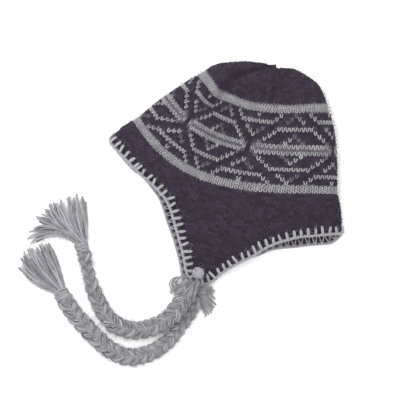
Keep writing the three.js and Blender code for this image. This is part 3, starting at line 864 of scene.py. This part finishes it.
# %% [markdown]
# ## One knitted stitch
#
# On the outside of plain knitting each stitch shows as a V: two legs of yarn that rise from the
# stitch below, lean outwards, and dive under the stitch above. Two short curves and a round section
# make one V of unit size. The tree puts it on points, each with its own turn and stretch.

# %% The stitch tree
LEG_CURVE = {
    "Start": (0.03, -0.70, 0.05),
    "Start Handle": (0.20, -0.42, 0.75),
    "End Handle": (0.44, 0.02, 0.66),
    "End": (0.33, 0.52, -0.30),
}


def make_stitch_tree():
    net, given = start_tree("stitches", ["Leg Thickness", "Sides"])
    both = net.node("GeometryNodeJoinGeometry")
    for mirror in (-1, 1):
        inputs = {key: (mirror * x, y, z) for key, (x, y, z) in LEG_CURVE.items()}
        inputs["Resolution"] = 3
        leg = net.node("GeometryNodeCurvePrimitiveBezierSegment", {"mode": "POSITION"}, inputs)
        net.link(leg, both.socket.node.inputs[0])
    share = net.node("GeometryNodeSplineParameter", out=0)
    swell = (share * math.pi).math("SINE") * 0.3 + 0.7
    ring = round_section(net, given["Sides"], given["Leg Thickness"] * 0.5)
    stitch = sweep(net, both, ring, swell)
    points = net.node("GeometryNodeMeshToPoints", inputs={"Mesh": given["Geometry"]})
    turn = net.node("FunctionNodeEulerToRotation", inputs=[net.attribute("turn", "FLOAT_VECTOR")])
    placed = net.node(
        "GeometryNodeInstanceOnPoints",
        inputs={
            "Points": points,
            "Instance": stitch,
            "Rotation": turn,
            "Scale": net.attribute("stretch", "FLOAT_VECTOR"),
        },
    )
    end_tree(net, placed, given["Material"])
    return net.tree


stitch_tree = make_stitch_tree()
print("stitch tree:", len(stitch_tree.nodes), "nodes")

# %% [markdown]
# ## All the stitches
#
# Each round of the body has a hundred stitches. Past the band the crown narrows, so its rounds have
# fewer, in ten sectors as a knitter would decrease. Only stitches above the rim exist, and the
# flaps are the long rounds of that rim. On the upper layer they stand proud of a thin ground of the
# same colours. The lower layer lies on the table, and its stitches are pressed flat.

# %% Where the stitches go
CROWN_ROW = 13
SECTORS = 10
STITCH_WIDTH = 4.6 * MM
ABOVE_RIM = 0.3  # of a round, from the rim to the first stitch
STITCH_HEIGHT_LEAST = 2.4 * MM
STITCH_HEIGHT_MOST = 5 * MM
PRESSED_THICK = 1.35 * MM  # of a stitch that faces the table
PROUD_BY = 0.95 * MM
SEAT = 0.25 * MM
CHART_STRETCH = (0.95, 1.36, 1.1)  # the chart's yarns stand a little over their neighbours
FACING_TABLE = -0.2  # upward share of the direction under which a stitch belongs to the lower layer
STRIPE_PULL = 0.22  # of a round, by which a stripe's outer rounds lie nearer to its middle one


def stitch_list():
    found = []
    for row in range(LOW_ROW + 1, TOP_ROW):
        around = float(np.interp(row, grid_rows, girth))
        number = STITCHES
        if row > CROWN_ROW:
            number = SECTORS * int(np.clip(round(around / STITCH_WIDTH / SECTORS), 1, 10))
        for k in range(number):
            stitch = k if number == STITCHES else (k + 0.5) * STITCHES / number - 0.5
            if row > rim_row(stitch) + ABOVE_RIM:
                found.append((stitch, row, number))
    return found


def stitch_points(found):
    """Place, turn and stretch of each stitch."""
    stitch = np.array([s for s, _, _ in found], dtype=float)
    row = np.array([r for _, r, _ in found], dtype=float)
    to_middle = STRIPE_MIDDLE - np.abs(row)
    row += np.sign(row) * STRIPE_PULL * to_middle * (np.abs(to_middle) < 1.5)
    half = HALF / np.array([n for _, _, n in found])
    origin, out = place(stitch, row)
    across = place(stitch + half, row)[0] - place(stitch - half, row)[0]
    rise = place(stitch, np.minimum(row + 0.5, TOP_ROW))[0] - place(stitch, row - 0.5)[0]
    width = np.linalg.norm(across, axis=1)
    height = np.linalg.norm(rise, axis=1)
    x_axis = unit(across)
    z_axis = unit(out)
    y_axis = unit(np.cross(z_axis, x_axis))
    y_axis = unit(0.5 * y_axis + 0.5 * unit(rise))
    z_axis = unit(np.cross(x_axis, y_axis))
    free = np.clip((out[:, 2] + 0.75) / 0.5, 0, 1)  # 0 where the fabric faces the table
    thick = PRESSED_THICK + PROUD_BY * free
    depth = thick + SEAT
    jitter = rng.normal(0, 1, (len(found), 4))
    turns = []
    for k in range(len(found)):
        x, y, z = x_axis[k], y_axis[k], z_axis[k]
        lean = 0.05 * jitter[k, 0]
        x, y = x * math.cos(lean) + y * math.sin(lean), y * math.cos(lean) - x * math.sin(lean)
        x = unit(x - y * np.dot(x, y))
        turns.append(Matrix((x, y, np.cross(x, y))).transposed().to_euler())
    width = width * (1.03 + 0.04 * jitter[:, 1])
    height = np.clip(height, STITCH_HEIGHT_LEAST, STITCH_HEIGHT_MOST) * (1.04 + 0.04 * jitter[:, 2])
    stretch = np.stack([width, height, thick], axis=1)
    in_chart = [abs(r) <= CHART_TOP and yarn_at(int(round(s)), r) != "dark" for s, r, _ in found]
    stretch[np.array(in_chart)] *= CHART_STRETCH
    spot = origin - z_axis * (depth + 0.12 * MM * jitter[:, 3] * free)[:, None]
    return spot, np.array([tuple(t) for t in turns]), stretch


all_stitches = stitch_list()
spots, turns, stretches = stitch_points(all_stitches)
yarns = np.array([yarn_at(int(round(s)), r) if n == STITCHES else "dark" for s, r, n in all_stitches])
places = np.array([(s, r) for s, r, _ in all_stitches]).T
facing_up = place(*places)[1][:, 2] > FACING_TABLE
print("stitches:", len(all_stitches), {name: int((yarns == name).sum()) for name in YARN_NAMES})

# %% [markdown]
# The stitches are grown in one piece for each yarn and layer, and one for the light stripes.

# %% Grow the stitches
def knit(name, chosen, material, leg_thickness, sides=6):
    """Leg thickness is a share of a stitch's width."""
    tone = rng.uniform(0, 1, chosen.sum())
    start = mesh_object(
        name,
        spots[chosen],
        floats={"tone": tone},
        vectors={"turn": turns[chosen], "stretch": stretches[chosen]},
    )
    made = grow(start, stitch_tree, material, leg_thickness=leg_thickness, sides=float(sides))
    keep(made, [])


knit("stitches_dark_upper", (yarns == "dark") & facing_up, dark_wool, 0.5)
knit("stitches_dark_lower", (yarns == "dark") & ~facing_up, dark_wool, 0.5, sides=4)
in_stripe = np.array([abs(r) > CHART_TOP for _, r, _ in all_stitches])
knit("stitches_stripes", (yarns == "light") & in_stripe, band_wool, 0.25)
knit("stitches_light", (yarns == "light") & ~in_stripe, band_wool, 0.27)
knit("stitches_grey", yarns == "grey", grey_wool, 0.34)

# %% [markdown]
# ## The ground
#
# Under the stitches lies a thin closed shell: the depth of the fabric, where yarns cross and light
# doesn't reach. Its outer face takes each stitch's colour, darkened, and its inner face is the
# cap's inside. A column of it runs from the rim to the crown, so both faces meet at the rim.

# %% The ground of the fabric
GROUND_DEPTH = 1.9 * MM
GROUND_COLUMNS = 200
GROUND_LEVELS = 62
INNER_TOP_ROW = 27.0
GROUND_LOWEST = 1.2 * MM
GROUND_SCALE = 700.0
STRIPE_REACH = 1.15  # rounds from a stripe's middle to the edge of its light ground
YARN_SHADES = {"dark": 0.0, "grey": 0.5, "light": 1.0}


def ground_shell():
    columns = np.arange(GROUND_COLUMNS) * STITCHES / GROUND_COLUMNS
    rims = rim_row(columns)
    t = np.linspace(0, 1, GROUND_LEVELS)
    vertices, yarn_shade, faces = [], [], []
    for depth, top in ((GROUND_DEPTH, TOP_ROW), (WALL, INNER_TOP_ROW)):
        rows = rims + (top - rims) * t[:, None]
        spot, _ = place(np.broadcast_to(columns, rows.shape), rows, depth)
        vertices.append(spot.reshape(-1, 3))
        for row, stitch in zip(rows.ravel(), np.broadcast_to(columns, rows.shape).ravel()):
            edge_of_stripe = abs(row) > CHART_TOP and abs(abs(row) - STRIPE_MIDDLE) > STRIPE_REACH
            yarn = "dark" if edge_of_stripe else yarn_at(int(round(stitch)), int(round(row)))
            yarn_shade.append(YARN_SHADES[yarn])
    vertices = resting(np.concatenate(vertices), GROUND_LOWEST)
    ring = GROUND_COLUMNS
    layer = ring * GROUND_LEVELS
    for side in (0, 1):
        for level in range(GROUND_LEVELS - 1):
            for k in range(ring):
                a = side * layer + level * ring + k
                b = side * layer + level * ring + (k + 1) % ring
                quad = (a, b, b + ring, a + ring)
                faces.append(quad if side == 0 else quad[::-1])
        last = side * layer + (GROUND_LEVELS - 1) * ring
        pole = len(vertices)
        vertices = np.vstack([vertices, vertices[last : last + ring].mean(axis=0)])
        yarn_shade.append(0.0)
        for k in range(ring):
            face = (last + k, last + (k + 1) % ring, pole)
            faces.append(face if side == 0 else face[::-1])
    for k in range(ring):
        other = (k + 1) % ring
        faces.append((other, k, layer + k, layer + other))
    return vertices, faces, yarn_shade


def ground_wool():
    material, net, shader = start_material("ground wool", {"Roughness": 0.95, "Specular IOR Level": 0.15})
    fibres = noise(net, GROUND_SCALE, 3.0)
    yarn = kept_number(net, "yarn_shade")
    # painted shade: the ground is a darkened share of its yarn's colour, for the shade in the fabric's
    # depth between the stitches
    channels = [
        (dark * 0.9 + yarn * (light * 0.34 - dark)) * (0.6 + fibres * 0.6)
        for dark, light in zip(DARK, LIGHT)
    ]
    finish_material(net, shader, channels, fibres, 0.7, 1.0 * MM)
    return material


vertices, faces, yarn_shade = ground_shell()
ground = mesh_object("fabric_ground", vertices, faces=faces, floats={"yarn_shade": yarn_shade})
ground.data.materials.append(ground_wool())
ground.data.shade_smooth()
keep(ground, ["knitted_cap"])

# %% [markdown]
# ## The edging
#
# A light yarn is worked over the rim. Along the very edge it makes a cord of small links. At even
# steps two strands reach over the outside of the fabric and enter it together, which shows as a row
# of small teeth. Between the teeth two more spread over the inside.

# %% Points along the rim
EDGING_WIDTH = 3.6 * MM
TOOTH_PITCH = 7.7 * MM


def rim_frames(step):
    """Evenly spaced places along the rim, with directions along it, out of it and through it."""
    stitch = np.arange(0, STITCHES, 0.05)
    middle, through = place(stitch, rim_row(stitch), WALL / 2)
    steps = np.linalg.norm(np.roll(middle, -1, axis=0) - middle, axis=1)
    so_far = np.concatenate([[0], np.cumsum(steps)])
    count = round(so_far[-1] / step)
    wanted = np.arange(count) * so_far[-1] / count
    at = np.interp(wanted, so_far, np.append(stitch, STITCHES))
    middle, through = place(at, rim_row(at), WALL / 2)
    along = unit(np.roll(middle, -1, axis=0) - np.roll(middle, 1, axis=0))
    through = unit(through - along * (through * along).sum(axis=1, keepdims=True))
    return middle, along, -np.cross(through, along), through, so_far[-1]


middle, along, outward, through, rim_length = rim_frames(0.9 * MM)
print("rim, mm:", round(rim_length / MM), "teeth:", round(rim_length / TOOTH_PITCH))

# %% The edging's yarns
CORD_YARN = 2.1 * MM
CORD_HALF_WIDTH = 0.75 * MM
CORD_HALF_HEIGHT = 1.05 * MM
CORD_TWIST = 1.5  # turns of the cord from tooth to tooth
TOOTH_YARN = 1.75 * MM
CORD_LOWEST = 1.05 * MM
TOOTH_LOWEST = 0.95 * MM
TOOTH_POINTS = 9
# Heights over the middle of the wall at the points of a tooth's strand and of an inner strand
TOOTH_RISE = np.array([0.3 * MM, *(WALL / 2 + extra * MM for extra in (1.0, 1.3, 1.2, 0.1))])
INNER_RISE = np.array([0.3 * MM, *(WALL / 2 + extra * MM for extra in (0.8, 1.1, 0.9, -0.2))])
TOOTH_WIDTHS = np.array([0.9, 0.95, 0.95, 1.05, 0.7])
INNER_WIDTHS = np.array([0.8, 0.85, 0.95, 0.95, 0.7])


def closed(ring):
    return np.vstack([ring, ring[:1]])


def edge_chain():
    """Two yarns twisted together along the edge."""
    teeth = round(rim_length / TOOTH_PITCH)
    angle = FULL_TURN * np.arange(len(middle) + 1) / len(middle) * teeth * CORD_TWIST
    out, up = closed(outward), closed(through)
    centre = closed(middle) + out * (EDGING_WIDTH / 2 + GAP)
    lines = []
    for phase in (0, math.pi):
        line = centre + out * np.cos(angle + phase)[:, None] * CORD_HALF_WIDTH
        line = line + up * np.sin(angle + phase)[:, None] * CORD_HALF_HEIGHT
        lines.append((resting(line, CORD_LOWEST), 1.0, 0.55))
    return lines


def over_strands():
    """The teeth on the outside and the strands on the inside."""
    lines = []
    for k, (spot, ahead, out, up) in enumerate(zip(*rim_frames(TOOTH_PITCH / 2)[:4])):
        reach = rng.uniform(6.0, 9.2) * MM
        lean = rng.uniform(-1.8, 1.8) * MM
        is_tooth = k % 2 == 0
        if not is_tooth:
            reach = rng.uniform(8.0, 10.0) * MM
        for side in (-1, 1):
            if is_tooth:
                foot = side * 0.75 * MM
                outs = [2.2 * MM, 1.0 * MM, -1.5 * MM, -0.7 * reach, -reach]
                asides = [foot, foot, foot, foot + lean * 0.7, foot * 0.5 + lean]
                rises = TOOTH_RISE
                widths = TOOTH_WIDTHS * rng.uniform(0.78, 1.12)
                tone = rng.uniform(0.2, 0.95)
            else:
                tip = side * rng.uniform(2.4, 3.2) * MM
                outs = [2.0 * MM, 0.6 * MM, -2.0 * MM, -0.75 * reach, -reach]
                asides = side * 0.7 * MM + tip * np.array([0, 0, 0.25, 0.75, 1])
                rises = -INNER_RISE
                widths = INNER_WIDTHS
                tone = rng.uniform(0.4, 1.0)
            line = spot + np.outer(outs, out) + np.outer(asides, ahead) + np.outer(rises, up)
            lines.append(softened(line, widths, tone))
    return lines


def softened(line, widths, tone):
    """The same strand through more points, with its corners rounded."""
    known = np.arange(len(line))
    t = np.linspace(0, len(line) - 1, TOOTH_POINTS)
    line = np.stack([np.interp(t, known, line[:, axis]) for axis in range(3)], axis=1)
    line[1:-1] = (line[:-2] + 2 * line[1:-1] + line[2:]) / 4
    return resting(line, TOOTH_LOWEST), np.interp(t, known, widths), tone


edging = strands("edge_chain", edge_chain(), light_wool, CORD_YARN)
keep(edging, ["rim_edging"])
over = strands("edge_strands", over_strands(), light_wool, TOOTH_YARN, sides=5)
keep(over, [])

# %% [markdown]
# ## Knot, roots and frayed ends
#
# The near tie's yarns come through the tip of the flap. A knot of them sits on its outside, some
# run down over the edge into the plait, and a few cut ends fray beside it.

# %% The flap's knot and loose yarns
KNOT_STITCH = 18.6
KNOT_ROW = -41.3
KNOT_WIDTH = 14 * MM
KNOT_HEIGHT = 8 * MM
KNOT_YARN = 2.9 * MM
knot_foot, knot_up = place(KNOT_STITCH, KNOT_ROW)
knot_middle = knot_foot + knot_up * (KNOT_HEIGHT / 2 + GAP)
knot_x = unit(np.cross(knot_up, np.array([0.3, 1.0, 0.0])))
knot_y = np.cross(knot_up, knot_x)


def knot_lines():
    a = np.linspace(0, FULL_TURN, 20)
    radius = KNOT_WIDTH / 2 - 1.5 * MM
    lines = []
    for k in range(6):
        heading = math.pi * k / 6 + rng.uniform(-0.2, 0.2)
        tilt = rng.uniform(-0.5, 0.5)
        x, y, z = radius * np.cos(a), radius * np.sin(a) * math.sin(tilt), radius * 0.5 * np.sin(a)
        flat = knot_x * (x * math.cos(heading) - y * math.sin(heading))[:, None]
        flat = flat + knot_y * (x * math.sin(heading) + y * math.cos(heading))[:, None]
        lines.append((knot_middle + flat + knot_up * z[:, None], 1.0, rng.uniform(0.4, 1.0)))
    inside = knot_middle + knot_x * (np.linspace(-0.4, 0.4, 5) * KNOT_WIDTH)[:, None]
    lines.append((inside, np.array([0.4, 0.9, 1.0, 0.9, 0.4]) * (KNOT_HEIGHT / KNOT_YARN), 0.6))
    return lines


knot = strands("knot_loops", knot_lines(), light_wool, KNOT_YARN)
keep(knot, ["flap_knot"])


def halfway(start, stop, stray):
    """A point between two others, which strays and is as high as the higher one."""
    x, y, _ = [(a + b) / 2 + rng.uniform(-stray, stray) for a, b in zip(start, stop)]
    return x, y, max(start[2], stop[2])


# The strands that run down into the plait, and where the loose ends stop, all in millimetres
ROOTS = [
    ((-44, -113, 9), (-45, -133, 12)), ((-41, -115, 10), (-43.5, -135, 15)),
    ((-38, -116, 11), (-42, -137, 17)), ((-35, -116.5, 12), (-40.5, -136, 17)),
    ((-32, -117, 12), (-39, -134, 15)), ((-29, -117, 11), (-38, -133, 12)),
]
FRAYED_ENDS = [
    (-12, -135, 3), (-11, -142, 3), (-15, -148, 3), (-19, -153, 2), (-24, -150, 3), (-22, -155, 2),
    (-14, -139, 5), (-18, -145, 5), (-26, -147, 4), (-16, -151, 2), (-13, -145, 4), (-21, -148, 5),
]
LEFT_ENDS = [(-58, -121, 5), (-60, -126, 4), (-55, -130, 4), (-57, -117, 6), (-53, -133, 5), (-61, -129, 3)]
SIDE_ENDS = [(-15, -123, 5), (-12, -127, 4), (-16, -131, 5), (-14, -129, 6), (-18, -126, 6)]
STRAY_ENDS = 16
ROOT_YARN = 2.4 * MM
ROOT_STEP = 1.5 * MM


def root_lines():
    """Strands from the flap's tip into the plait, and the frayed ends beside them."""
    lines = []

    def add(width, *points):
        line, _ = smooth_route(np.array(points, dtype=float) * MM, ROOT_STEP)
        lines.append((line, width, rng.uniform(0.2, 0.9)))

    for start, stop in ROOTS:
        x, y, z = halfway(start, stop, 1)
        add(1.0, start, (x, y, z + 1.5), stop)
    for stop in FRAYED_ENDS:
        start = (-30 + rng.uniform(-2, 2), -124 + rng.uniform(-2, 2), 8)
        bend = ((start[0] + stop[0]) / 2 + rng.uniform(-2, 2), (start[1] + stop[1]) / 2, 9)
        add(0.85, start, bend, stop)
    for stop in SIDE_ENDS:
        add(0.8, (-29, -121, 8), (-23, -122, 9), stop)
    for dx in (-3, 0, 1.5, 4):
        left, further = -53 - dx, -58 - dx
        add(0.6, (-43, -112, 9), (left, -112, 8), (further, -119, 6), (left, -127, 7), (-44, -130, 12))
    for stop in LEFT_ENDS:
        add(0.7, (-44, -115, 10), (-50, -120, 11), stop)
    for _ in range(STRAY_ENDS):
        start = (rng.uniform(-47, -27), rng.uniform(-119, -113), rng.uniform(10, 14))
        stop = (rng.uniform(-55, -34), rng.uniform(-144, -132), rng.uniform(8, 17))
        x, y, z = halfway(start, stop, 3)
        bend = (x, y, z + rng.uniform(1, 4))
        add(rng.uniform(0.8, 1.1), start, bend, stop)
    return lines


roots = strands("tie_roots", root_lines(), tie_wool, ROOT_YARN)
keep(roots, [])

# %% [markdown]
# ## Fibres
#
# Fine hairs stand off all wool and soften its outline. They are strands too, three-sided and very
# thin, and start on the stitches, the edging and the ties.

# %% Loose fibres
KNIT_HAIR = 0.17 * MM
TIE_HAIR = 0.25 * MM
HAIR_LOWEST = 0.2 * MM
HAIR_WIDTHS = [1.0, 0.85, 0.4]


def hair_lines(spots_, directions, lengths):
    lines = []
    t = np.linspace(0, 1, 3)[:, None]
    for spot, heading, length in zip(spots_, directions, lengths):
        curl = rng.normal(0, 0.4, 3)
        line = spot + heading * t * length + curl * t * t * length
        lines.append((resting(line, HAIR_LOWEST), HAIR_WIDTHS, rng.uniform(0, 1)))
    return lines


def hairs_on_knit(chosen, number, shortest, longest):
    index = rng.choice(np.flatnonzero(chosen), number)
    stitch = np.array([all_stitches[k][0] for k in index]) + rng.uniform(-0.4, 0.4, number)
    row = np.array([all_stitches[k][1] for k in index], dtype=float)
    spot, out = place(stitch, row, 0.3 * MM)
    heading = unit(out * 0.5 + rng.normal(0, 0.6, (number, 3)))
    return hair_lines(spot, heading, rng.uniform(shortest, longest, number) * MM)


def hairs_on_strands(lines, number, shortest, longest):
    picked = rng.integers(0, len(lines), number)
    spots_, headings = [], []
    for k in picked:
        line = np.asarray(lines[k][0])
        spots_.append(line[rng.integers(1, len(line))])
        headings.append(unit(rng.normal(0, 1, 3) + np.array([0, 0, 0.4])))
    return hair_lines(spots_, headings, rng.uniform(shortest, longest, number) * MM)


hair_on = {
    "dark": (hairs_on_knit((yarns == "dark") & facing_up, 3000, 1.5, 4.0), dark_wool, "dark_knit"),
    "light": (hairs_on_knit((yarns == "light") & facing_up, 2500, 1.2, 3.2), light_wool, "light_yarn"),
    "edging": (hairs_on_strands(edge_chain() + over_strands(), 4500, 1.5, 5.0), light_wool, "light_yarn"),
}
for side_name, plait in PLAITS.items():
    on_plait = hairs_on_strands(plait_lines(*plait)[0][:-1], 4600, 2.5, 7.5)
    on_tassel = hairs_on_strands(tassel_lines(plait[0], LOCKS[side_name]), 1400, 2.5, 6.5)
    hair_on[side_name] = (on_plait + on_tassel, tie_wool, "braid_yarn")
hair_on["roots"] = (hairs_on_strands(root_lines() + knot_lines(), 1400, 2.5, 7.5), tie_wool, "braid_yarn")
for name, (lines, material, slot) in hair_on.items():
    hair = TIE_HAIR if slot == "braid_yarn" else KNIT_HAIR
    keep(strands(f"fibres_{name}", lines, material, hair, sides=3), [])

# %% [markdown]
# ## Table and light
#
# The table is white, and so is the light, so that it stays nearly white under the cap. A large soft
# light overhead models the stitches gently. A weaker one from the upper left gives them a side.

# %% Table and lights
bpy.ops.mesh.primitive_plane_add(size=12, location=(0, 0, -0.2 * MM))
table = bpy.context.object
table.name = "table"
table_material, _, _ = start_material("white table", {
    "Base Color": (0.95, 0.95, 0.95, 1.0),
    "Roughness": 0.9,
    "Specular IOR Level": 0.1,
    "Emission Color": (1.0, 1.0, 1.0, 1.0),
    "Emission Strength": 0.12,
})
table.data.materials.append(table_material)

world = bpy.data.worlds.new("soft light")
bpy.context.scene.world = world
world.use_nodes = True
background = world.node_tree.nodes["Background"]
background.inputs["Color"].default_value = (1.0, 1.0, 1.0, 1.0)
background.inputs["Strength"].default_value = 1.0


def area_light(name, location, size, power):
    data = bpy.data.lights.new(name, "AREA")
    data.size = size
    data.energy = power
    made = add_object(name, data)
    made.location = location
    aim = Vector((*VIEW_CENTRE, 0)) - Vector(location)
    made.rotation_euler = aim.to_track_quat("-Z", "Y").to_euler()


area_light("overhead", (-0.1, 0.25, 1.4), 0.9, 10)
area_light("upper left", (-0.9, 0.7, 0.8), 0.5, 5)

# %% [markdown]
# ## Triangles
#
# The number of triangles in each piece is printed, with their sum.

# %% Triangles
print("triangles:", sum(pieces.values()), pieces)
